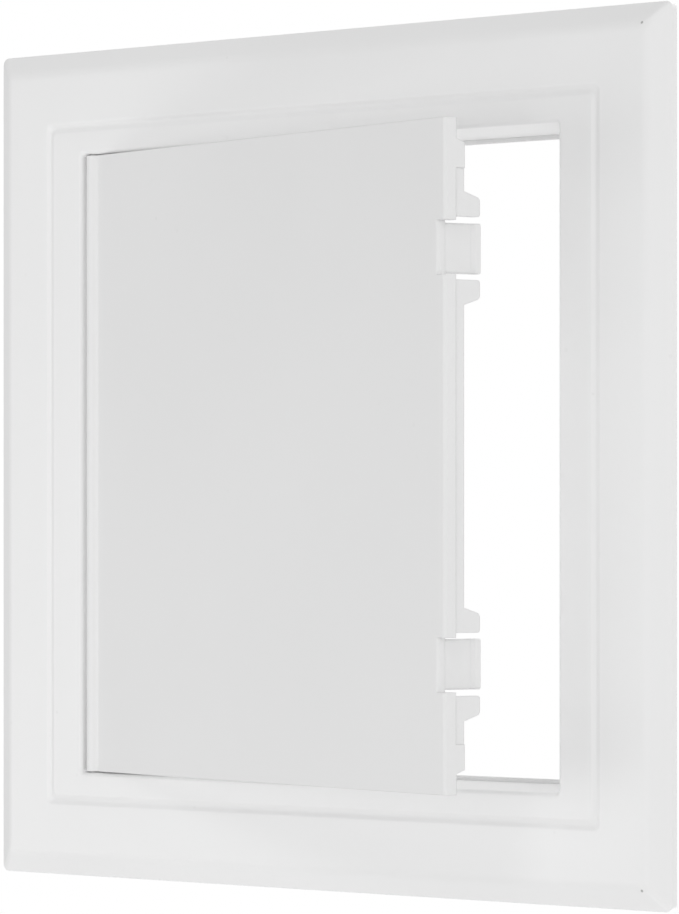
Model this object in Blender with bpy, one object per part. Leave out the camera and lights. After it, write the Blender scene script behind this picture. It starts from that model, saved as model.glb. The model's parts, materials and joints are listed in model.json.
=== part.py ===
# Access panel for a wall or a ceiling: a frame with a collar that drops into a square cut-out,
# and a hinged door that snaps shut on two spring tongues.
# The frame's flange lies on the plane Y = 0, the front faces -Y and the hinge stands along Z.
# The origin is the middle of the flange on that plane.
import math

import bmesh
import bpy
from mathutils import Matrix, Vector

MM = 0.001

# Flange
FLANGE_SIDE = 28.7 * MM        # beyond the opening, left and right
FLANGE_END = 25.3 * MM         # beyond the opening, top and bottom
PANEL_CORNER = 1.7 * MM
FLANGE_RISE = 4.9 * MM         # fixing plane to front face
FLANGE_EDGE = 1.6 * MM         # square outer edge, below the bevel
BEVEL_WIDTH = 4.9 * MM
BEVEL_BLEND = 5.0 * MM         # radius between bevel and face
EDGE_BLEND = 0.5 * MM          # radius between outer edge and bevel
FACE_CORNER = 1.4 * MM         # least corner radius of a ring on the face
FLANGE_SKIN = 2.0 * MM
FLANGE_RIM = 1.8 * MM          # flat ring that touches the wall
RIM_SIDE = 0.4 * MM            # upright inner side of that ring
GROOVE_INSET = 18.5 * MM
GROOVE_WIDTH = 2.8 * MM
GROOVE_DEPTH = 0.55 * MM
GROOVE_STEPS = 6

# Opening and collar
OPENING_WIDTH = 142.6 * MM
OPENING_HEIGHT = 149.4 * MM
OPENING_CORNER = 0.8 * MM
OPENING_EDGE = 1.0 * MM        # rounding of the front edge
SIDE_DRAFT = 0.3 * MM          # how much a side wall leans in by the lip
END_DRAFT = 0.75 * MM          # the same for the top and bottom walls
COLLAR_DEPTH = 21.4 * MM       # front face to rear end
COLLAR_WALL = 2.0 * MM
COLLAR_ROOT = 0.4 * MM         # thicker root under the flange
LIP_REACH = 1.0 * MM
LIP_THICKNESS = 1.5 * MM
LIP_BLEND = 0.4 * MM
LIP_CORNER = 0.5 * MM          # corner radius inside the lip

# Stiffening ribs behind the flange
RIB_COUNT = 4                  # on each side
RIB_THICKNESS = 1.2 * MM
RIB_RECESS = 0.6 * MM          # kept back from the fixing plane

# Hinge
AXIS_DEPTH = 2.0 * MM          # behind the front face
HINGE_GAP = 0.6 * MM           # barrel to the wall of the opening
BARREL_RADIUS = 1.8 * MM
BARREL_FILLET = 1.5 * MM
PIN_RADIUS = 0.8 * MM
PIN_GAP = 0.3 * MM
PIN_IN_BARREL = 6.0 * MM
PIN_IN_FRAME = 3.0 * MM
BOSS_WIDTH = 5.6 * MM
BOSS_WALL = 1.2 * MM           # beyond the end of the pin's hole
REST_ANGLE = math.radians(14.75)

# Door
DOOR_GAP = 0.3 * MM            # to the top and bottom walls at the hinge
DOOR_TAPER = 0.55 * MM         # added to that gap by the free side
FREE_GAP = 1.0 * MM            # to the wall that the latches face
DOOR_STEP = 0.4 * MM           # door face in front of the hinge axis
DOOR_SKIN = 2.0 * MM
DOOR_EDGE = 0.9 * MM           # rounding of the free edge
RIM_THICKNESS = 1.6 * MM
RIM_DEPTH = 5.5 * MM           # from the door's face
RIM_START = 3.4 * MM           # hinge axis to the end of the rim
BAND_DEPTH = 3.1 * MM          # thicker edge of the plate along the free side
BAND_WIDTH = 2.4 * MM
WALL_SETBACK = 0.25 * MM       # free-side wall behind the edge of the plate
CORNER_LENGTH = 11.5 * MM      # where the wall is flush again, at each end
CORNER_RIM_DEPTH = 3.2 * MM
CORNER_RIM_HEIGHT = 5.1 * MM
CORNER_RIM_SLOPE = 0.8 * MM
DOOR_RIB_COLUMNS = 2
DOOR_RIB_SPREAD = 10.0 * MM    # tongue to the rib beside it
DOOR_RIB_THICKNESS = 1.2 * MM
DOOR_RIB_HEIGHT = 2.4 * MM

# Latches
LATCH_INSET = 28.4 * MM        # end of the door to the middle of a tongue
TONGUE_WIDTH = 11.1 * MM
TONGUE_THICKNESS = 1.3 * MM
TONGUE_DEPTH = 10.9 * MM       # from the door's face
TONGUE_SETBACK = 0.9 * MM      # ridge to the free edge of the door
RIDGE_HEIGHT = 0.8 * MM
RIDGE_RAMP = 0.8 * MM
RIDGE_LENGTH = 1.7 * MM        # top of the ridge, to the end of the tongue
TONGUE_SEAT = 0.3 * MM         # tongue to the back and side of the door
TONGUE_ROUND = 0.5 * MM
TONGUE_EDGE = 0.8 * MM         # rounding along the sides of the outer face
SLIT = 1.35 * MM
NOTCH_DEPTH = 2.5 * MM
NOTCH_SPREAD = 0.5 * MM        # tongue to the end of the notch, towards the end of the door
GUARD_WIDTH = 4.1 * MM
GUARD_TAPER = 1.4 * MM
GUARD_DEPTH = 9.9 * MM
GUARD_ROUND = 1.1 * MM
GUARD_CORNER = 0.65 * MM

# What the door meets inside the frame
STOP_GAP = 0.3 * MM
STOP_REACH = 2.0 * MM
STOP_HEIGHT = 4.2 * MM
STOP_DEPTH = 4.0 * MM
CATCH_WIDTH = 8.0 * MM
CATCH_REACH = 0.9 * MM
CATCH_DEPTH = 1.4 * MM
CATCH_GAP = 0.6 * MM           # catch to the ridge behind it

CORNER_STEPS = 4
ARC_STEPS = 4
BARREL_STEPS = 14
PIN_SIDES = 24
OVERLAP = 0.4 * MM             # how far joined shapes run into each other

# Places worked out from the sizes above
PANEL_WIDTH = OPENING_WIDTH + 2 * FLANGE_SIDE
PANEL_HEIGHT = OPENING_HEIGHT + 2 * FLANGE_END
FRONT = -FLANGE_RISE
OPENING_RIGHT = OPENING_WIDTH / 2
OPENING_TOP = OPENING_HEIGHT / 2
COLLAR_BACK = FRONT + COLLAR_DEPTH
LIP_FRONT = COLLAR_BACK - LIP_THICKNESS
AXIS_X = -OPENING_RIGHT + HINGE_GAP + BARREL_RADIUS
AXIS_Y = FRONT + AXIS_DEPTH
DOOR_REACH = OPENING_RIGHT - FREE_GAP - AXIS_X
DOOR_TOP = OPENING_TOP - DOOR_GAP
DOOR_RECESS = AXIS_DEPTH - DOOR_STEP
DOOR_BACK = DOOR_STEP - DOOR_SKIN
FREE_TOP = DOOR_TOP - DOOR_TAPER
RIM_INNER = DOOR_TOP - DOOR_TAPER / 2 - RIM_THICKNESS
LATCH_Z = FREE_TOP - LATCH_INSET
TONGUE_HALF = TONGUE_WIDTH / 2
TONGUE_START = DOOR_SKIN + TONGUE_SEAT
RIDGE_START = TONGUE_DEPTH - RIDGE_LENGTH - RIDGE_RAMP
CATCH_BACK = FRONT + DOOR_RECESS + RIDGE_START - CATCH_GAP


def clear_scene():
    for obj in list(bpy.data.objects):
        bpy.data.objects.remove(obj, do_unlink=True)


def plastic(name, colour, roughness):
    material = bpy.data.materials.new(name)
    material.use_nodes = True
    shader = material.node_tree.nodes["Principled BSDF"]
    shader.inputs["Base Color"].default_value = (*colour, 1.0)
    shader.inputs["Roughness"].default_value = roughness
    shader.inputs["Metallic"].default_value = 0.0
    return material


def add_object(name, bm, material=None, smooth_angle=30.0):
    """Turns a bmesh into an object with outward faces, and smooths its round stretches."""
    bmesh.ops.recalc_face_normals(bm, faces=bm.faces)
    mesh = bpy.data.meshes.new(name)
    bm.to_mesh(mesh)
    bm.free()
    mesh.shade_smooth()
    mesh.set_sharp_from_angle(angle=math.radians(smooth_angle))
    obj = bpy.data.objects.new(name, mesh)
    bpy.context.collection.objects.link(obj)
    if material:
        mesh.materials.append(material)
    return obj


def hide(obj):
    """Marks an object as a cutter or a joined shape, which is no piece of its own."""
    obj.hide_render = True
    obj.display_type = "WIRE"
    return obj


def combine(obj, other, operation):
    modifier = obj.modifiers.new(f"{operation.lower()} {other.name}", "BOOLEAN")
    modifier.operation = operation
    modifier.solver = "EXACT"
    modifier.object = hide(other)


def rounded_outline(corners, steps=ARC_STEPS):
    """A closed 2D outline from (u, v, radius) corners, with an arc wherever the radius isn't zero."""
    outline = []
    count = len(corners)
    for index, (u, v, radius) in enumerate(corners):
        corner = Vector((u, v))
        if radius == 0:
            outline.append(corner)
            continue
        before = (Vector(corners[index - 1][:2]) - corner).normalized()
        after = (Vector(corners[(index + 1) % count][:2]) - corner).normalized()
        half = before.angle(after) / 2
        centre = corner + (before + after).normalized() * (radius / math.sin(half))
        start = corner + before * (radius / math.tan(half)) - centre
        turn = start.angle_signed(corner + after * (radius / math.tan(half)) - centre)
        for step in range(steps + 1):
            arm = start.copy()
            arm.rotate(Matrix.Rotation(-turn * step / steps, 2))
            outline.append(centre + arm)
    return outline


def extrude_outline(bm, outline, place, low, high):
    """Adds a prism: the outline at low and at high, with place(u, v, w) giving each point."""
    ends = []
    for level in (low, high):
        ring = [bm.verts.new(place(point[0], point[1], level)) for point in outline]
        bm.faces.new(ring)
        ends.append(ring)
    count = len(outline)
    for index in range(count):
        after = (index + 1) % count
        bm.faces.new((ends[0][index], ends[0][after], ends[1][after], ends[1][index]))


def prism(name, outline, place, low, high, material=None):
    bm = bmesh.new()
    extrude_outline(bm, outline, place, low, high)
    return add_object(name, bm, material)


def add_box(bm, low, high):
    """A box between two corners, given in any order."""
    size = [abs(b - a) for a, b in zip(low, high)]
    middle = [(a + b) / 2 for a, b in zip(low, high)]
    matrix = Matrix.Translation(middle) @ Matrix.Diagonal((*size, 1.0))
    bmesh.ops.create_cube(bm, size=1.0, matrix=matrix)


def add_rod(bm, radius, centre, low, high):
    """An upright round bar about centre, from low to high."""
    matrix = Matrix.Translation((centre[0], centre[1], (low + high) / 2))
    bmesh.ops.create_cone(bm, cap_ends=True, segments=PIN_SIDES, radius1=radius, radius2=radius,
                          depth=high - low, matrix=matrix)


def ring(half_width, half_height, radius, y):
    """A rounded rectangle across the opening, as points at depth y."""
    points = []
    for quarter, (side, top) in enumerate(((1, 1), (-1, 1), (-1, -1), (1, -1))):
        centre_x = side * (half_width - radius)
        centre_z = top * (half_height - radius)
        for step in range(CORNER_STEPS + 1):
            angle = math.radians(90) * (quarter + step / CORNER_STEPS)
            points.append(Vector((centre_x + radius * math.cos(angle), y,
                                  centre_z + radius * math.sin(angle))))
    return points


def flange_ring(inset, y):
    """A ring that follows the panel's outer edge."""
    radius = max(PANEL_CORNER - inset, FACE_CORNER)
    return ring(PANEL_WIDTH / 2 - inset, PANEL_HEIGHT / 2 - inset, radius, y)


def opening_ring(offset, y, drafted=False):
    """A ring that follows the opening, outside it by offset; drafted walls lean in with depth."""
    lean = min(max((y - FRONT) / (LIP_FRONT - FRONT), 0), 1) if drafted else 0
    return ring(OPENING_RIGHT + offset - lean * SIDE_DRAFT, OPENING_TOP + offset - lean * END_DRAFT,
                max(OPENING_CORNER + offset, LIP_CORNER), y)


def loft_rings(bm, rings):
    """Closes a band of faces through the rings and back to the first one."""
    loops = [[bm.verts.new(point) for point in points] for points in rings]
    for loop, after in zip(loops, loops[1:] + loops[:1]):
        count = len(loop)
        for index in range(count):
            right = (index + 1) % count
            bm.faces.new((loop[index], loop[right], after[right], after[index]))


def open_stretch(corners):
    """An outline's rounded points without the first and last corner, which only steer its ends."""
    return rounded_outline(corners)[1:-1]


def frame_front():
    """Rings from the fixing plane round the bevel and across the groove."""
    rings = [flange_ring(0, 0)]
    bevel = open_stretch([(0, 0, 0), (0, -FLANGE_EDGE, EDGE_BLEND), (BEVEL_WIDTH, FRONT, BEVEL_BLEND),
                          (GROOVE_INSET, FRONT, 0)])
    rings += [flange_ring(inset, y) for inset, y in bevel]
    for step in range(GROOVE_STEPS + 1):
        across = 2 * step / GROOVE_STEPS - 1
        sink = GROOVE_DEPTH * (1 + math.cos(math.pi * across)) / 2
        rings.append(flange_ring(GROOVE_INSET + across * GROOVE_WIDTH / 2, FRONT + sink))
    return rings


def collar_rings():
    """Rings over the opening's front edge, down its wall, round the lip and up the outside."""
    inside = open_stretch([(OPENING_EDGE * 4, FRONT, 0), (0, FRONT, OPENING_EDGE), (0, LIP_FRONT, 0),
                           (-LIP_REACH, LIP_FRONT, LIP_BLEND), (-LIP_REACH, COLLAR_BACK, LIP_BLEND),
                           (COLLAR_WALL, COLLAR_BACK, 0)])
    outside = open_stretch([(0, COLLAR_BACK, 0), (COLLAR_WALL, COLLAR_BACK, LIP_BLEND),
                            (COLLAR_WALL, COLLAR_ROOT, 0)])
    rings = [opening_ring(offset, y, drafted=True) for offset, y in inside]
    rings += [opening_ring(offset, y) for offset, y in outside]
    rings.append(opening_ring(COLLAR_WALL, COLLAR_ROOT))
    rings.append(opening_ring(COLLAR_WALL + COLLAR_ROOT, 0))
    rings.append(opening_ring(COLLAR_WALL + COLLAR_ROOT, FRONT + FLANGE_SKIN))
    return rings


def frame_back():
    """Rings of the hollow behind the flange, out to the flat rim."""
    return [flange_ring(BEVEL_WIDTH + FLANGE_SKIN / 2, FRONT + FLANGE_SKIN),
            flange_ring(FLANGE_RIM, -RIM_SIDE), flange_ring(FLANGE_RIM, 0)]


def frame_ribs():
    """Ribs across the hollow, from the rim to the collar, on all four sides."""
    bm = bmesh.new()
    ceiling = FRONT + FLANGE_SKIN - OVERLAP
    floor = -RIB_RECESS
    sides = ((PANEL_WIDTH / 2, OPENING_RIGHT, OPENING_TOP, False),
             (PANEL_HEIGHT / 2, OPENING_TOP, OPENING_RIGHT, True))
    for outer, inner, run, upright in sides:
        for sign in (-1, 1):
            for index in range(RIB_COUNT):
                along = run * (2 * (index + 0.5) / RIB_COUNT - 1)
                near = sign * (inner + COLLAR_WALL - OVERLAP)
                far = sign * (outer - BEVEL_WIDTH)
                low, high = along - RIB_THICKNESS / 2, along + RIB_THICKNESS / 2
                if upright:
                    add_box(bm, (low, ceiling, near), (high, floor, far))
                else:
                    add_box(bm, (near, ceiling, low), (far, floor, high))
    return add_object("frame_ribs", bm)


def frame_inner():
    """Door stops, catches and hinge bosses that stand on the collar."""
    bm = bmesh.new()
    wall = OPENING_RIGHT + OVERLAP
    stop_front = FRONT + DOOR_RECESS + CORNER_RIM_DEPTH + STOP_GAP
    for end in (-1, 1):
        add_box(bm, (OPENING_RIGHT - STOP_REACH, stop_front, end * (OPENING_TOP - STOP_HEIGHT)),
                (wall, stop_front + STOP_DEPTH, end * (OPENING_TOP + OVERLAP)))
        boss_end = OPENING_TOP + PIN_IN_FRAME + PIN_GAP + BOSS_WALL
        boss_start = OPENING_TOP + COLLAR_WALL - OVERLAP
        add_box(bm, (AXIS_X - BOSS_WIDTH / 2, FRONT + FLANGE_SKIN / 2, end * boss_start),
                (AXIS_X + BOSS_WIDTH / 2, AXIS_Y + BOSS_WIDTH / 2, end * boss_end))
        tip = OPENING_RIGHT - CATCH_REACH
        catch = [(wall, CATCH_BACK - CATCH_DEPTH), (tip, CATCH_BACK - CATCH_DEPTH / 3),
                 (tip, CATCH_BACK), (wall, CATCH_BACK)]
        middle = end * LATCH_Z
        extrude_outline(bm, catch, lambda u, v, w: (u, v, w),
                        middle - CATCH_WIDTH / 2, middle + CATCH_WIDTH / 2)
    return add_object("frame_inner", bm)


def pin_holes(name, start, length, x, y):
    """Cutters for the two holes on the hinge axis, each from start outward or inward."""
    bm = bmesh.new()
    for end in (-1, 1):
        low, high = sorted((end * start, end * (start + length)))
        add_rod(bm, PIN_RADIUS + PIN_GAP, (x, y), low, high)
    return add_object(name, bm)


def make_frame(material):
    bm = bmesh.new()
    loft_rings(bm, frame_front() + collar_rings() + frame_back())
    frame = add_object("frame", bm, material)
    combine(frame, frame_ribs(), "UNION")
    combine(frame, frame_inner(), "UNION")
    depth = OVERLAP + PIN_IN_FRAME + PIN_GAP
    holes = pin_holes("frame_holes", OPENING_TOP - OVERLAP, depth, AXIS_X, AXIS_Y)
    combine(frame, holes, "DIFFERENCE")
    return frame


def door_place(u, v, w):
    """Door coordinates: u from the hinge axis, v to the front, w up."""
    return (u, -v, w)


def side_place(u, v, w):
    """Outline of the free side: u up, v back from the door's face, w from the hinge axis."""
    return (w, v - DOOR_STEP, u)


def door_section():
    """Plate with its barrel, cut across the hinge."""
    reach = math.sqrt((BARREL_RADIUS + BARREL_FILLET) ** 2 - (DOOR_STEP + BARREL_FILLET) ** 2)
    touch = math.atan2(DOOR_STEP + BARREL_FILLET, reach)
    low = math.asin(DOOR_BACK / BARREL_RADIUS)
    outline = rounded_outline([(BARREL_RADIUS * math.cos(low), DOOR_BACK, 0), (DOOR_REACH, DOOR_BACK, 0),
                               (DOOR_REACH, DOOR_STEP, DOOR_EDGE), (reach, DOOR_STEP, 0)])
    for step in range(1, ARC_STEPS):
        angle = -math.pi / 2 - (math.pi / 2 - touch) * step / ARC_STEPS
        outline.append(Vector((reach + BARREL_FILLET * math.cos(angle),
                               DOOR_STEP + BARREL_FILLET + BARREL_FILLET * math.sin(angle))))
    for step in range(BARREL_STEPS):
        angle = touch + (2 * math.pi + low - touch) * step / BARREL_STEPS
        outline.append(BARREL_RADIUS * Vector((math.cos(angle), math.sin(angle))))
    return outline


def side_half():
    """Upper half of the free-side wall, from the end of the door to its middle."""
    outer = LATCH_Z + TONGUE_HALF + SLIT
    inner = LATCH_Z - TONGUE_HALF - SLIT
    return [(DOOR_TOP - CORNER_LENGTH + OVERLAP, BAND_DEPTH - OVERLAP, 0),
            (DOOR_TOP - CORNER_LENGTH + OVERLAP, RIM_DEPTH, 0),
            (outer + GUARD_WIDTH + GUARD_TAPER, RIM_DEPTH, 0),
            (outer + GUARD_WIDTH, GUARD_DEPTH, GUARD_ROUND), (outer, GUARD_DEPTH, GUARD_CORNER),
            (outer, BAND_DEPTH, 0), (inner, BAND_DEPTH, 0),
            (inner, GUARD_DEPTH, GUARD_CORNER), (inner - GUARD_WIDTH, GUARD_DEPTH, GUARD_ROUND),
            (inner - GUARD_WIDTH - GUARD_TAPER, RIM_DEPTH, 0)]


def door_side():
    """Wall of the free side with guards and windows for the tongues, and what is flush round it."""
    upper = side_half()
    lower = [(-u, v, radius) for u, v, radius in reversed(upper)]
    outer = DOOR_REACH - WALL_SETBACK
    inner = outer - RIM_THICKNESS
    wall = prism("door_side", rounded_outline(upper + lower), side_place, inner, outer)
    bm = bmesh.new()
    add_box(bm, (DOOR_REACH - BAND_WIDTH, DOOR_SKIN - DOOR_STEP - OVERLAP, -DOOR_TOP),
            (DOOR_REACH, BAND_DEPTH - DOOR_STEP, DOOR_TOP))
    band = add_object("door_band", bm)
    corner = [(DOOR_TOP, BAND_DEPTH - OVERLAP), (DOOR_TOP, CORNER_RIM_DEPTH),
              (DOOR_TOP - CORNER_RIM_HEIGHT, CORNER_RIM_DEPTH),
              (DOOR_TOP - CORNER_RIM_HEIGHT - CORNER_RIM_SLOPE, RIM_DEPTH),
              (DOOR_TOP - CORNER_LENGTH, RIM_DEPTH), (DOOR_TOP - CORNER_LENGTH, BAND_DEPTH - OVERLAP)]
    bm = bmesh.new()
    for end in (-1, 1):
        outline = [(end * u, v) for u, v in corner]
        extrude_outline(bm, outline, side_place, inner, DOOR_REACH)
    return wall, band, add_object("door_corners", bm)


def door_rims():
    """Walls along the top and bottom of the door, lower where they meet the free side."""
    front = DOOR_BACK + OVERLAP
    end_x = DOOR_REACH - OVERLAP
    step = DOOR_REACH - WALL_SETBACK - RIM_THICKNESS - CORNER_RIM_HEIGHT
    outline = [(RIM_START, front), (end_x, front), (end_x, DOOR_STEP - CORNER_RIM_DEPTH),
               (step, DOOR_STEP - CORNER_RIM_DEPTH), (step - CORNER_RIM_SLOPE, DOOR_STEP - RIM_DEPTH),
               (RIM_START, DOOR_STEP - RIM_DEPTH)]
    bm = bmesh.new()
    for end in (-1, 1):
        extrude_outline(bm, outline, door_place, end * RIM_INNER, end * DOOR_TOP)
    return add_object("door_rims", bm)


def door_ribs():
    """Low ribs on the back of the plate: one row by each tongue, one between them, and upright ones."""
    front = -DOOR_BACK - OVERLAP
    back = -DOOR_BACK + DOOR_RIB_HEIGHT
    thickness = DOOR_RIB_THICKNESS
    last = DOOR_REACH - WALL_SETBACK - RIM_THICKNESS + OVERLAP
    half = RIM_INNER + OVERLAP
    bm = bmesh.new()
    beside = LATCH_Z - TONGUE_HALF - DOOR_RIB_SPREAD
    for z in (-beside, 0, beside):
        add_box(bm, (RIM_START, front, z - thickness / 2), (last, back, z + thickness / 2))
    rows = add_object("door_rib_rows", bm)
    bm = bmesh.new()
    for column in range(DOOR_RIB_COLUMNS):
        x = DOOR_REACH * (column + 1) / (DOOR_RIB_COLUMNS + 1)
        add_box(bm, (x - thickness / 2, front, -half), (x + thickness / 2, back, half))
    return rows, add_object("door_rib_columns", bm)


def door_notches():
    """Cutters that set the plate's edge back in front of each tongue, with the edge still rounded."""
    floor = DOOR_REACH - NOTCH_DEPTH
    beyond = DOOR_REACH + OVERLAP
    back = DOOR_STEP - BAND_DEPTH - OVERLAP
    outline = [(floor, back)]
    for step in range(ARC_STEPS + 1):
        angle = math.pi / 2 * step / ARC_STEPS
        outline.append((floor - DOOR_EDGE + DOOR_EDGE * math.cos(angle),
                        DOOR_STEP - DOOR_EDGE + DOOR_EDGE * math.sin(angle)))
    outline += [(floor - DOOR_EDGE, DOOR_STEP + OVERLAP), (beyond, DOOR_STEP + OVERLAP), (beyond, back)]
    bm = bmesh.new()
    for end in (-1, 1):
        extrude_outline(bm, outline, door_place, end * (LATCH_Z - TONGUE_HALF - TONGUE_SEAT),
                        end * (LATCH_Z + TONGUE_HALF + NOTCH_SPREAD))
    return add_object("door_notches", bm)


def door_trims():
    """Cutters that take the top and bottom of the door in towards the free side."""
    beyond = DOOR_REACH + OVERLAP
    fall = DOOR_TAPER * (beyond - RIM_START) / (DOOR_REACH - RIM_START)
    bm = bmesh.new()
    for end in (-1, 1):
        outline = [(RIM_START, end * DOOR_TOP), (beyond, end * (DOOR_TOP - fall)),
                   (beyond, end * (DOOR_TOP + OVERLAP)), (RIM_START, end * (DOOR_TOP + OVERLAP))]
        extrude_outline(bm, outline, lambda u, v, w: (u, w, v), -DOOR_STEP - OVERLAP, RIM_DEPTH)
    return add_object("door_trims", bm)


def make_door(material, axis):
    door = prism("door", door_section(), door_place, -DOOR_TOP, DOOR_TOP, material)
    shapes = [*door_side(), door_rims(), *door_ribs()]
    for shape in shapes:
        combine(door, shape, "UNION")
    holes = pin_holes("door_holes", DOOR_TOP + OVERLAP, -OVERLAP - PIN_IN_BARREL - PIN_GAP, 0, 0)
    cutters = [door_notches(), door_trims(), holes]
    for cutter in cutters:
        combine(door, cutter, "DIFFERENCE")
    for obj in [door] + shapes + cutters:
        obj.parent = axis


def tongue_section(relief):
    """Tongue across its width, with its outer face set in by relief."""
    root = TONGUE_THICKNESS / 2
    end = TONGUE_DEPTH - TONGUE_START - root
    foot = RIDGE_START - TONGUE_START - root
    ridge = NOTCH_DEPTH - TONGUE_SETBACK + root
    neck = ridge - RIDGE_HEIGHT
    small = TONGUE_ROUND / 2
    corners = [(root - relief, 0, 0), (neck - relief, foot, 0), (ridge - relief, foot + RIDGE_RAMP, small),
               (ridge - relief, end, TONGUE_ROUND), (neck - TONGUE_THICKNESS, end, small),
               (neck - TONGUE_THICKNESS, foot, 0), (-root, 0, 0)]
    outline = rounded_outline(corners)
    for step in range(1, 2 * ARC_STEPS):
        angle = math.pi * (1 + step / (2 * ARC_STEPS))
        inset = relief * step / (2 * ARC_STEPS)
        outline.append(Vector((root * math.cos(angle) - inset, root * math.sin(angle))))
    return outline


def make_tongue(name, material, axis, z):
    """A spring tongue with its origin on the line about which it bends."""
    reliefs = []
    for step in range(ARC_STEPS + 1):
        angle = math.pi / 2 * step / ARC_STEPS
        height = TONGUE_HALF - TONGUE_EDGE * (1 - math.sin(angle))
        reliefs.append((height, TONGUE_EDGE * (1 - math.cos(angle)) / 2))
    levels = [(-height, relief) for height, relief in reversed(reliefs)] + reliefs
    bm = bmesh.new()
    rings = [[bm.verts.new((point[0], point[1], height)) for point in tongue_section(relief)]
             for height, relief in levels]
    for ring_low, ring_high in zip(rings, rings[1:]):
        for index in range(len(ring_low)):
            after = (index + 1) % len(ring_low)
            bm.faces.new((ring_low[index], ring_low[after], ring_high[after], ring_high[index]))
    bm.faces.new(rings[0])
    bm.faces.new(rings[-1])
    tongue = add_object(name, bm, material)
    root = TONGUE_THICKNESS / 2
    tongue.location = (DOOR_REACH - NOTCH_DEPTH - root, TONGUE_START + root - DOOR_STEP, z)
    tongue.parent = axis


def make_pin(name, material, axis, end):
    bm = bmesh.new()
    inner = end * (DOOR_TOP - PIN_IN_BARREL)
    outer = end * (OPENING_TOP + PIN_IN_FRAME)
    low, high = sorted((inner, outer))
    add_rod(bm, PIN_RADIUS, (0, 0), low, high)
    add_object(name, bm, material).parent = axis


def build():
    clear_scene()
    frame_white = plastic("frame white", (0.80, 0.80, 0.80), 0.42)
    door_white = plastic("door white", (0.79, 0.79, 0.79), 0.40)
    pin_white = plastic("pin white", (0.72, 0.72, 0.71), 0.35)
    make_frame(frame_white)
    axis = bpy.data.objects.new("door_axis", None)
    bpy.context.collection.objects.link(axis)
    axis.location = (AXIS_X, AXIS_Y, 0)
    axis.rotation_euler = (0, 0, -REST_ANGLE)
    make_door(door_white, axis)
    make_tongue("upper_latch_tongue", door_white, axis, LATCH_Z)
    make_tongue("lower_latch_tongue", door_white, axis, -LATCH_Z)
    make_pin("upper_hinge_pin", pin_white, axis, 1)
    make_pin("lower_hinge_pin", pin_white, axis, -1)


build()
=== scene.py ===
import json
import math

import bmesh
import bpy
from mathutils import Matrix, Vector


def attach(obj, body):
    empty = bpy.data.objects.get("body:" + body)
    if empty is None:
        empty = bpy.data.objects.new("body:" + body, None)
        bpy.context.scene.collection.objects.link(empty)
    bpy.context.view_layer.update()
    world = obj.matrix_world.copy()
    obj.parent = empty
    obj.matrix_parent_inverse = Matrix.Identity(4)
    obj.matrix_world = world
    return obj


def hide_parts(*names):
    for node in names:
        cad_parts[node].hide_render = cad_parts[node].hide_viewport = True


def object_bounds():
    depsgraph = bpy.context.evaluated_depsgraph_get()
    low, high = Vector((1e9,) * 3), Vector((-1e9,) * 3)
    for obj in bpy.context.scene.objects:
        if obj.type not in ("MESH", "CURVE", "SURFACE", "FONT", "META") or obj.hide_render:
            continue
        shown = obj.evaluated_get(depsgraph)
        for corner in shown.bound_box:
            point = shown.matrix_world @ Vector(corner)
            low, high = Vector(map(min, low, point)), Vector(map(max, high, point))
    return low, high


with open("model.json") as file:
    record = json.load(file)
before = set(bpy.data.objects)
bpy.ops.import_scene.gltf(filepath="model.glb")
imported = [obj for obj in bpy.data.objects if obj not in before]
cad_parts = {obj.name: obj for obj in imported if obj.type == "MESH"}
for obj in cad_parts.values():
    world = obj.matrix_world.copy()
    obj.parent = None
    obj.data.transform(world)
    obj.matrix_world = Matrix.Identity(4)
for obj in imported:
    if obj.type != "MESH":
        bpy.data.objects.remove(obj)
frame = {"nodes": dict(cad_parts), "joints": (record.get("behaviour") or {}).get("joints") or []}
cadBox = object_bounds()
print("frame loaded:", ", ".join(sorted(frame["nodes"])))


# small helpers for node trees

def addNode(tree, kind, **values):
    # a value goes to the socket of that name, or else to the node's own setting
    node = tree.nodes.new(kind)
    for name, value in values.items():
        socketName = name[0].upper() + name[1:]
        if socketName in node.inputs:
            node.inputs[socketName].default_value = value
        else:
            setattr(node, name, value)
    return node


def plug(tree, value, socket):
    if isinstance(value, bpy.types.NodeSocket):
        tree.links.new(value, socket)
    else:
        socket.default_value = value


def calc(tree, operation, *values, clamp=False):
    node = tree.nodes.new("ShaderNodeMath")
    node.operation = operation
    node.use_clamp = clamp
    for value, socket in zip(values, node.inputs):
        plug(tree, value, socket)
    return node.outputs[0]


def remap(tree, value, fromMin, fromMax, toMin, toMax):
    node = tree.nodes.new("ShaderNodeMapRange")
    names = ("Value", "From Min", "From Max", "To Min", "To Max")
    for source, name in zip((value, fromMin, fromMax, toMin, toMax), names):
        plug(tree, source, node.inputs[name])
    return node.outputs["Result"]


def mixColour(tree, amount, first, second):
    node = addNode(tree, "ShaderNodeMix", data_type="RGBA")
    for value, index in ((amount, 0), (first, 6), (second, 7)):
        plug(tree, value, node.inputs[index])
    return node.outputs[2]


def newGroup(name, inputs, outputs):
    tree = bpy.data.node_groups.new(name, "ShaderNodeTree")
    for socketName, kind, value in inputs:
        socket = tree.interface.new_socket(socketName, in_out="INPUT", socket_type=kind)
        socket.default_value = value
    for socketName, kind in outputs:
        tree.interface.new_socket(socketName, in_out="OUTPUT", socket_type=kind)
    given = tree.nodes.new("NodeGroupInput").outputs
    out = tree.nodes.new("NodeGroupOutput").inputs
    return tree, given, out


def placeGroup(tree, group, **values):
    node = tree.nodes.new("ShaderNodeGroup")
    node.node_tree = group
    for name, value in values.items():
        plug(tree, value, node.inputs[name])
    return node


# shared effects

skinWaves = dict(low=0.3, high=0.7)         # stretch of the waves that becomes the mottle
dustSpots = dict(patchScale=22.0, patchLow=0.55, patchHigh=0.7, speckSize=0.05, speckFade=0.09)


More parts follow.
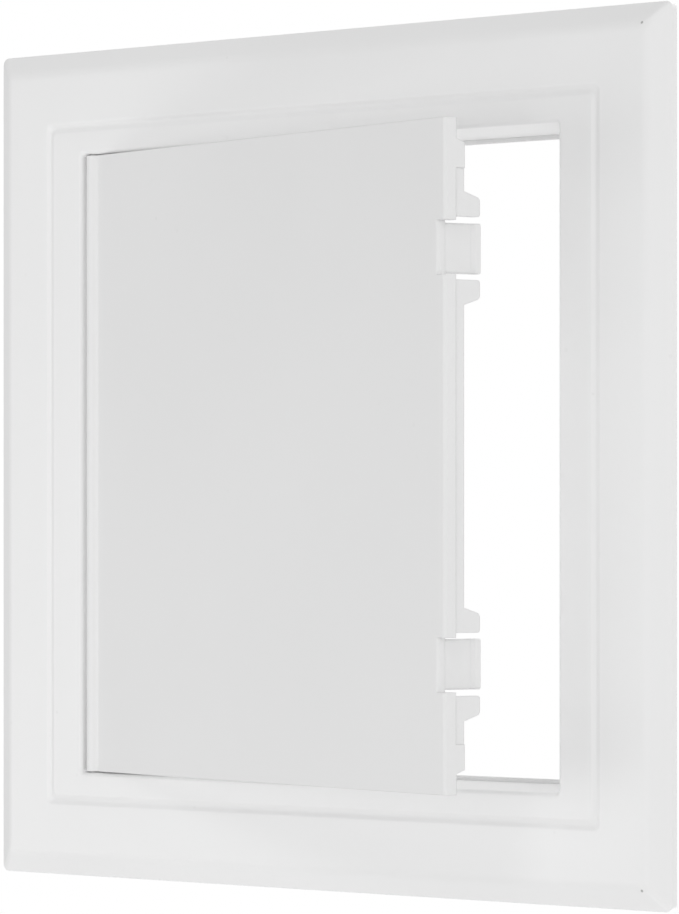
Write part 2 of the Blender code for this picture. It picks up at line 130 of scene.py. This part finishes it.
def makeMouldSkin():
    # fine satin grain of a moulded face, with slow waves where the plastic cooled
    tree, given, out = newGroup("mouldSkin",
                                [("grainScale", "NodeSocketFloat", 900.0),
                                 ("waveScale", "NodeSocketFloat", 14.0),
                                 ("waveHeight", "NodeSocketFloat", 0.3)],
                                [("height", "NodeSocketFloat"), ("mottle", "NodeSocketFloat")])
    place = addNode(tree, "ShaderNodeTexCoord").outputs["Object"]
    grain = addNode(tree, "ShaderNodeTexNoise", detail=3.0, roughness=0.6)
    wave = addNode(tree, "ShaderNodeTexNoise", detail=1.0, roughness=0.5)
    for texture, scale in ((grain, "grainScale"), (wave, "waveScale")):
        tree.links.new(place, texture.inputs["Vector"])
        tree.links.new(given[scale], texture.inputs["Scale"])
    waves = calc(tree, "MULTIPLY", wave.outputs["Fac"], given["waveHeight"])
    tree.links.new(calc(tree, "ADD", grain.outputs["Fac"], waves), out["height"])
    mottle = remap(tree, wave.outputs["Fac"], skinWaves["low"], skinWaves["high"], 0.0, 1.0)
    tree.links.new(mottle, out["mottle"])
    return tree


def makeHandling():
    # a few specks of dust, gathered in patches, as a mask
    tree, given, out = newGroup("handling",
                                [("speckScale", "NodeSocketFloat", 160.0),
                                 ("amount", "NodeSocketFloat", 0.5)],
                                [("mask", "NodeSocketFloat")])
    place = addNode(tree, "ShaderNodeTexCoord").outputs["Object"]
    cells = addNode(tree, "ShaderNodeTexVoronoi", randomness=1.0)
    patches = addNode(tree, "ShaderNodeTexNoise", scale=dustSpots["patchScale"], detail=2.0)
    tree.links.new(place, cells.inputs["Vector"])
    tree.links.new(place, patches.inputs["Vector"])
    tree.links.new(given["speckScale"], cells.inputs["Scale"])
    speck = remap(tree, cells.outputs["Distance"], dustSpots["speckSize"], dustSpots["speckFade"],
                  1.0, 0.0)
    spread = remap(tree, patches.outputs["Fac"], dustSpots["patchLow"], dustSpots["patchHigh"],
                   0.0, 1.0)
    both = calc(tree, "MULTIPLY", speck, spread)
    tree.links.new(calc(tree, "MULTIPLY", both, given["amount"], clamp=True), out["mask"])
    return tree


def makeSoftEdge():
    # the small radius that a mould leaves on every edge, as a normal
    tree, given, out = newGroup("softEdge", [("radius", "NodeSocketFloat", 0.0003)],
                                [("normal", "NodeSocketVector")])
    bevel = addNode(tree, "ShaderNodeBevel", samples=6)
    tree.links.new(given["radius"], bevel.inputs["Radius"])
    tree.links.new(bevel.outputs["Normal"], out["normal"])
    return tree


def makePaintedDimpleShade():
    # round dark spots at given places, as a mask: painted shade of the small dimples at the corners
    # of the frame's bevel
    tree, given, out = newGroup("paintedDimpleShade", [("across", "NodeSocketFloat", 0.09),
                                            ("up", "NodeSocketFloat", 0.09),
                                            ("radius", "NodeSocketFloat", 0.0005)],
                                [("mask", "NodeSocketFloat")])
    place = addNode(tree, "ShaderNodeTexCoord").outputs["Object"]
    apart = tree.nodes.new("ShaderNodeSeparateXYZ")
    tree.links.new(place, apart.inputs[0])
    # the absolute height gives the upper and the lower corner at once
    side = calc(tree, "SUBTRACT", apart.outputs["X"], given["across"])
    high = calc(tree, "SUBTRACT", calc(tree, "ABSOLUTE", apart.outputs["Z"]), given["up"])
    away = calc(tree, "SQRT", calc(tree, "ADD", calc(tree, "MULTIPLY", side, side),
                                   calc(tree, "MULTIPLY", high, high)))
    core = calc(tree, "MULTIPLY", given["radius"], 0.5)       # full inside half the radius
    tree.links.new(remap(tree, away, core, given["radius"], 1.0, 0.0), out["mask"])
    return tree


mouldSkin = makeMouldSkin()
handling = makeHandling()
softEdge = makeSoftEdge()
paintedDimpleShade = makePaintedDimpleShade()
print("shared effects: skin, dust, edges and dimples")


# plastics

plastics = {
    "framePlastic": dict(colour=(0.89, 0.89, 0.89), shade=(0.875, 0.875, 0.875),
                         roughness=0.34, bump=0.05, grainScale=1400.0, waveScale=16.0,
                         dust=0.25, edge=0.0004,
                         dimpleShadeSpots=dict(across=0.0939, up=0.0953, radius=0.0004)),
    "doorPlastic": dict(colour=(0.85, 0.85, 0.85), shade=(0.835, 0.835, 0.835),
                        roughness=0.34, bump=0.05, grainScale=1400.0, waveScale=20.0,
                        dust=0.2, edge=0.0003),
    "tonguePlastic": dict(colour=(0.855, 0.855, 0.855), shade=(0.845, 0.845, 0.845),
                          roughness=0.32, bump=0.03, grainScale=1800.0, waveScale=60.0,
                          dust=0.1, edge=0.0003),
    "pinPlastic": dict(colour=(0.74, 0.74, 0.73), shade=(0.70, 0.70, 0.69),
                       roughness=0.3, bump=0.02, grainScale=2200.0, waveScale=90.0,
                       dust=0.1, edge=0.0002),
}
dustColour = (0.66, 0.66, 0.65, 1.0)
# dark colour painted as the shade in the small dimples at the corners of the frame's bevel
dimpleShadeColour = (0.42, 0.42, 0.41, 1.0)
plasticIor = 1.49
grainDepth = 0.0002
mottleRoughness = 0.06              # how much rougher the mottle and the dust make it
dustRoughness = 0.3


def makePlastic(name, look):
    material = bpy.data.materials.new(name)
    material.use_nodes = True
    tree = material.node_tree
    shader = tree.nodes["Principled BSDF"]
    shader.inputs["IOR"].default_value = plasticIor
    skin = placeGroup(tree, mouldSkin, grainScale=look["grainScale"], waveScale=look["waveScale"])
    marks = placeGroup(tree, handling, amount=look["dust"])
    colour = mixColour(tree, skin.outputs["mottle"], (*look["shade"], 1.0), (*look["colour"], 1.0))
    colour = mixColour(tree, marks.outputs["mask"], colour, dustColour)
    # painted shade: dark spots where the small dimples at the bevel's corners would hold shade
    if "dimpleShadeSpots" in look:
        shadeSpots = placeGroup(tree, paintedDimpleShade, **look["dimpleShadeSpots"])
        colour = mixColour(tree, shadeSpots.outputs["mask"], colour, dimpleShadeColour)
    tree.links.new(colour, shader.inputs["Base Color"])
    mottled = calc(tree, "MULTIPLY", skin.outputs["mottle"], mottleRoughness)
    rough = calc(tree, "ADD", mottled, look["roughness"])
    dusty = calc(tree, "MULTIPLY", marks.outputs["mask"], dustRoughness)
    tree.links.new(calc(tree, "ADD", rough, dusty), shader.inputs["Roughness"])
    edges = placeGroup(tree, softEdge, radius=look["edge"])
    bump = addNode(tree, "ShaderNodeBump", strength=look["bump"], distance=grainDepth)
    tree.links.new(skin.outputs["height"], bump.inputs["Height"])
    tree.links.new(edges.outputs["normal"], bump.inputs["Normal"])
    tree.links.new(bump.outputs["Normal"], shader.inputs["Normal"])
    return material


made = {name: makePlastic(name, look) for name, look in plastics.items()}
wearers = {"frame": "framePlastic", "door": "doorPlastic",
           "upper_latch_tongue": "tonguePlastic", "lower_latch_tongue": "tonguePlastic",
           "upper_hinge_pin": "pinPlastic", "lower_hinge_pin": "pinPlastic"}
for node, finish in wearers.items():
    for slot in frame["nodes"][node].material_slots:
        slot.material = made[finish]
print("plastics:", len(made), "materials on", len(wearers), "nodes")


# shading of the imported pieces: welded points, round stretches smooth, flat faces flat

shading = dict(weld=0.000002, angle=32.0, flatWeight=100)


def makeShadingGroup(values):
    tree = bpy.data.node_groups.new("smoothShading", "GeometryNodeTree")
    for direction in ("INPUT", "OUTPUT"):
        tree.interface.new_socket("Geometry", in_out=direction, socket_type="NodeSocketGeometry")
    start = tree.nodes.new("NodeGroupInput")
    weld = tree.nodes.new("GeometryNodeMergeByDistance")
    weld.inputs["Distance"].default_value = values["weld"]
    bend = tree.nodes.new("GeometryNodeInputMeshEdgeAngle")
    sharp = tree.nodes.new("FunctionNodeCompare")
    sharp.operation = "GREATER_THAN"
    sharp.inputs[1].default_value = math.radians(values["angle"])
    normals = tree.nodes.new("GeometryNodeSetMeshNormal")
    normals.mode = "SHARPNESS"
    normals.inputs["Remove Custom"].default_value = True
    normals.inputs["Face Sharpness"].default_value = False
    end = tree.nodes.new("NodeGroupOutput")
    tree.links.new(start.outputs[0], weld.inputs["Geometry"])
    tree.links.new(weld.outputs[0], normals.inputs["Mesh"])
    tree.links.new(bend.outputs["Unsigned Angle"], sharp.inputs[0])
    tree.links.new(sharp.outputs[0], normals.inputs["Edge Sharpness"])
    tree.links.new(normals.outputs[0], end.inputs[0])
    return tree


def smoothShading(obj, group):
    nodes = obj.modifiers.new("smoothShading", "NODES")
    nodes.node_group = group
    weighted = obj.modifiers.new("flatFaces", "WEIGHTED_NORMAL")
    weighted.keep_sharp = True
    weighted.weight = shading["flatWeight"]


shadingGroup = makeShadingGroup(shading)
for obj in frame["nodes"].values():
    smoothShading(obj, shadingGroup)
print("shading:", len(frame["nodes"]), "nodes")


# latch tongues, which grow out of the door's plate without a seam

restTurn = math.radians(-14.75)     # the door stands ajar by this much
tongueShape = dict(root=0.00063, neck=0.00145, ridge=0.00225,      # how far the outer face stands out
                   foot=0.00545, top=0.00625, end=0.00795,         # how far behind the joint they lie
                   thickness=0.0013, halfWidth=0.00555,
                   sink=-0.0014, plate=-0.00095,                   # its root inside the door's plate
                   swell=-0.0015, bend=0.0004,                     # reach of the fillet at the root
                   round=0.0005, edge=0.0008, relief=0.0004, steps=5)


def arcPoints(corner, before, after, radius, steps):
    # points of an arc that rounds the corner between two neighbours
    corner, before, after = Vector(corner), Vector(before), Vector(after)
    toBefore = (before - corner).normalized()
    toAfter = (after - corner).normalized()
    half = toBefore.angle(toAfter) / 2
    centre = corner + (toBefore + toAfter).normalized() * (radius / math.sin(half))
    start = corner + toBefore * (radius / math.tan(half)) - centre
    stop = corner + toAfter * (radius / math.tan(half)) - centre
    turn = start.angle_signed(stop)
    points = []
    for step in range(steps + 1):
        arm = start.copy()
        arm.rotate(Matrix.Rotation(-turn * step / steps, 2))
        points.append(tuple(centre + arm))
    return points


def tongueOutline(shape, relief):
    # across the tongue: x out of the door's edge, y back from the plate
    inner = shape["neck"] - shape["thickness"]
    outer = [(shape["root"] - relief, shape["sink"]),
             (shape["root"] - relief, 0.0),
             (shape["neck"] - relief, shape["foot"]),
             (shape["ridge"] - relief, shape["top"]),
             (shape["ridge"] - relief, shape["end"]),
             (inner, shape["end"]),
             (inner, shape["foot"])]
    outline = outer[:3]
    for index, radius in ((3, shape["round"] / 2), (4, shape["round"]), (5, shape["round"] / 2)):
        outline += arcPoints(outer[index], outer[index - 1], outer[index + 1], radius, shape["steps"])
    outline.append(outer[-1])
    # a fillet runs from the inner face out onto the plate
    across = -shape["root"] - shape["swell"]
    along = shape["bend"] - shape["plate"]
    for step in range(shape["steps"] + 1):
        angle = math.pi / 2 * step / shape["steps"]
        outline.append((shape["swell"] + across * (1 - math.sin(angle)),
                        shape["plate"] + along * (1 - math.sin(math.pi / 2 - angle))))
    outline.append((shape["swell"], shape["sink"]))
    return outline


def makeTongue(name, node, joint, shape):
    levels = []
    for step in range(shape["steps"] + 1):
        angle = math.pi / 2 * step / shape["steps"]
        levels.append((shape["halfWidth"] - shape["edge"] * (1 - math.sin(angle)),
                       shape["relief"] * (1 - math.cos(angle))))
    levels = [(-height, relief) for height, relief in reversed(levels)] + levels
    bm = bmesh.new()
    rings = [[bm.verts.new((x, y, height)) for x, y in tongueOutline(shape, relief)]
             for height, relief in levels]
    for lower, upper in zip(rings, rings[1:]):
        for index in range(len(lower)):
            after = (index + 1) % len(lower)
            bm.faces.new((lower[index], lower[after], upper[after], upper[index]))
    bm.faces.new(rings[0])
    bm.faces.new(rings[-1])
    bmesh.ops.recalc_face_normals(bm, faces=bm.faces)
    bm.transform(Matrix.Translation(joint["pos_m"]) @ Matrix.Rotation(restTurn, 4, "Z"))
    mesh = bpy.data.meshes.new(name)
    bm.to_mesh(mesh)
    bm.free()
    mesh.materials.append(made["tonguePlastic"])
    piece = bpy.data.objects.new(name, mesh)
    bpy.context.collection.objects.link(piece)
    smoothShading(piece, shadingGroup)
    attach(piece, joint["child"])
    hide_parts(node)


for joint in frame["joints"]:
    if joint["name"].endswith("tongue_bend"):
        side = joint["name"].split("_")[0]
        makeTongue(side + "Tongue", side + "_latch_tongue", joint, tongueShape)
print("latch tongues: 2, riding on their own bodies")


# camera, as the photograph was taken

cameraSet = dict(place=(0.67397, -0.83082, -0.01610), turn=38.84,
                 lens=180.83, sensor=36.0, shiftY=0.0799, near=0.05, far=20.0)


def makeCamera(values):
    lens = bpy.data.cameras.new("photoLens")
    lens.lens = values["lens"]
    lens.sensor_width = values["sensor"]
    lens.sensor_fit = "AUTO"
    lens.shift_y = values["shiftY"]
    lens.clip_start = values["near"]
    lens.clip_end = values["far"]
    camera = bpy.data.objects.new("photoCamera", lens)
    bpy.context.collection.objects.link(camera)
    camera.location = values["place"]
    camera.rotation_euler = (math.radians(90), 0.0, math.radians(values["turn"]))
    bpy.context.scene.camera = camera


makeCamera(cameraSet)


# floor, background and lamps

studio = dict(floorDrop=0.9, floorSize=4.0, floorColour=(0.86, 0.86, 0.86, 1.0), floorRoughness=0.9,
              ambient=dict(left=0.1, right=1.06))
lamps = {
    "front": dict(place=(0.15, -1.6, -0.15), size=0.35, power=1.1),
    "highFront": dict(place=(0.2, -0.9, 0.9), size=0.4, power=1.45),
    "farLeft": dict(place=(-1.2, -0.9, -0.2), size=0.6, power=1.6),
    "below": dict(place=(0.1, -0.3, -0.85), size=0.6, power=1.65),
    "nearLeft": dict(place=(-0.25, -0.5, -0.05), size=0.3, power=0.33),
    "backLow": dict(place=(0.0, 1.0, -0.8), size=0.9, power=6.0),
    "backHigh": dict(place=(0.0, 1.0, 0.8), size=0.9, power=4.0),
}


def makeWorld(ambient):
    # soft light from all around, which falls off towards the left
    world = bpy.data.worlds.new("studioWorld")
    world.use_nodes = True
    tree = world.node_tree
    tree.nodes.clear()
    ray = addNode(tree, "ShaderNodeLightPath")
    seen = calc(tree, "ADD", ray.outputs["Is Camera Ray"], ray.outputs["Is Glossy Ray"], clamp=True)
    seen = calc(tree, "ADD", seen, ray.outputs["Is Transmission Ray"], clamp=True)
    soft = addNode(tree, "ShaderNodeBackground", color=(1.0, 1.0, 1.0, 1.0))
    apart = tree.nodes.new("ShaderNodeSeparateXYZ")
    tree.links.new(addNode(tree, "ShaderNodeTexCoord").outputs["Generated"], apart.inputs[0])
    across = remap(tree, apart.outputs["X"], -1.0, 1.0, ambient["left"], ambient["right"])
    tree.links.new(across, soft.inputs["Strength"])
    white = addNode(tree, "ShaderNodeBackground", color=(1.0, 1.0, 1.0, 1.0), strength=1.0)
    mix = addNode(tree, "ShaderNodeMixShader")
    tree.links.new(seen, mix.inputs[0])
    tree.links.new(soft.outputs[0], mix.inputs[1])
    tree.links.new(white.outputs[0], mix.inputs[2])
    tree.links.new(mix.outputs[0], addNode(tree, "ShaderNodeOutputWorld").inputs["Surface"])
    bpy.context.scene.world = world


def makeLamp(name, values):
    light = bpy.data.lights.new(name, "AREA")
    light.shape = "SQUARE"
    light.size = values["size"]
    light.energy = values["power"]
    lamp = bpy.data.objects.new(name, light)
    bpy.context.collection.objects.link(lamp)
    lamp.location = values["place"]
    lamp.rotation_euler = (-lamp.location).to_track_quat("-Z", "Y").to_euler()


def makeFloor(values):
    half = values["floorSize"] / 2
    drop = cadBox[0][2] - values["floorDrop"]
    mesh = bpy.data.meshes.new("floor")
    corners = [(-half, -half, drop), (half, -half, drop), (half, half, drop), (-half, half, drop)]
    mesh.from_pydata(corners, [], [(0, 1, 2, 3)])
    floor = bpy.data.objects.new("floor", mesh)
    bpy.context.collection.objects.link(floor)
    material = bpy.data.materials.new("floorPaper")
    material.use_nodes = True
    shader = material.node_tree.nodes["Principled BSDF"]
    shader.inputs["Base Color"].default_value = values["floorColour"]
    shader.inputs["Roughness"].default_value = values["floorRoughness"]
    mesh.materials.append(material)


makeWorld(studio["ambient"])
makeFloor(studio)
for name, values in lamps.items():
    makeLamp(name, values)
bpy.context.scene.view_settings.view_transform = "Standard"
print("studio: floor, background and", len(lamps), "lamps")
